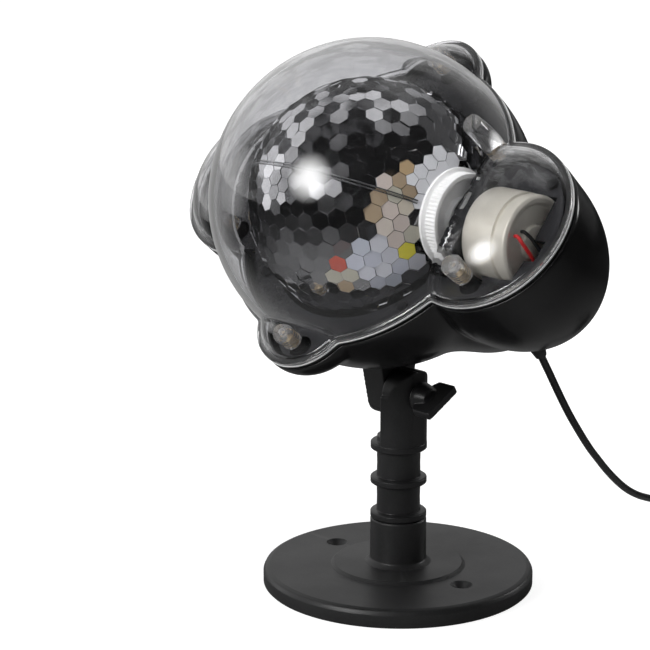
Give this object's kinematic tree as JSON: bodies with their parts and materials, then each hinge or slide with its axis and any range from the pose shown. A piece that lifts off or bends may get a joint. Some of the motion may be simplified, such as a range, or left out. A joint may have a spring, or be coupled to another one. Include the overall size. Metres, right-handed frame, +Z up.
{
  "type": "garden light projector",
  "caption": "Garden snowfall light projector: clear lobed dome over a turning mirror ball, black lobed housing, tilting knuckle on a round base stand, coiled low-voltage lead.",
  "frame": {"origin": "centre of the base disc's underside", "axes": "+Z up, lens side towards -Y, hinge axis along X with the wing knob on +X, base screw holes on X"},
  "size_m": [0.1916, 0.2917, 0.2203],
  "materials": {
    "black_abs": "satin moulded black plastic",
    "base_abs": "satin moulded black plastic",
    "clear_pc": "clear moulded polycarbonate",
    "seal_rubber": "black silicone",
    "mirror_film": "vacuum-plated mirror facets",
    "silver_abs": "silver plated plastic",
    "inner_abs": "dark glossy plastic",
    "motor_can": "nickel plated can",
    "steel": "zinc plated steel",
    "brass": "brass",
    "alu": "bare aluminium",
    "board_white": "white solder mask",
    "board_green": "green solder mask",
    "parts_dark": "moulded component cases",
    "lamp_dome": "clear silicone lamp lens",
    "wire_red": "wire insulation",
    "wire_white": "wire insulation",
    "lead_pvc": "black flexible lead jacket",
    "plug_black": "moulded black plug",
    "nickel": "nickel plated contact"
  },
  "bodies": {
    "stand": {"base_disc": "base_abs", "pole": "black_abs", "knob_washer": "steel", "cord": "lead_pvc", "cord_coil": "lead_pvc", "cord_tail": "lead_pvc", "coil_tie": "lead_pvc", "plug_body": "plug_black", "plug_barrel": "nickel"},
    "knob": {"wing_knob": "black_abs", "hinge_stud": "steel"},
    "head": {"hinge_nut": "steel", "head_bracket": "black_abs", "bracket_screws": "steel", "rear_housing": "black_abs", "seal_ring": "seal_rubber", "clear_cover": "clear_pc", "cover_screws": "brass", "inner_panel": "inner_abs", "panel_screws": "steel", "gear_case": "inner_abs", "motor_body": "motor_can", "motor_bracket": "inner_abs", "motor_screws": "steel", "motor_wires": "wire_red", "axle_bush": "brass", "bush_bracket": "inner_abs", "bush_screws": "steel", "lamp_board": "board_white", "lamp_heatsink": "alu", "lamp_lens": "lamp_dome", "lamp_screws": "steel", "lamp_wires": "wire_white", "driver_board": "board_green", "board_screws": "steel", "driver_parts": "parts_dark", "cord_gland": "seal_rubber", "gland_nut": "inner_abs"},
    "ball": {"ball_half_front": "mirror_film", "ball_half_back": "mirror_film", "ball_hub": "silver_abs", "hub_cap": "inner_abs", "motor_shaft": "steel", "ball_axle": "steel"}
  },
  "joints": [
    {"name": "head_tilt", "type": "hinge", "parent": "stand", "child": "head", "pos_m": [0, 0, 0.0792], "axis": [1, 0, 0], "range_deg": [-50, 55], "deforming": ["cord"]},
    {"name": "knob_turn", "type": "hinge", "parent": "stand", "child": "knob", "pos_m": [0, 0, 0.0792], "axis": [1, 0, 0], "range_deg": [0, 270]},
    {"name": "ball_spin", "type": "hinge", "parent": "head", "child": "ball", "pos_m": [0, -0.01678, 0.15855], "axis": [1, 0, 0], "continuous": true}
  ]
}
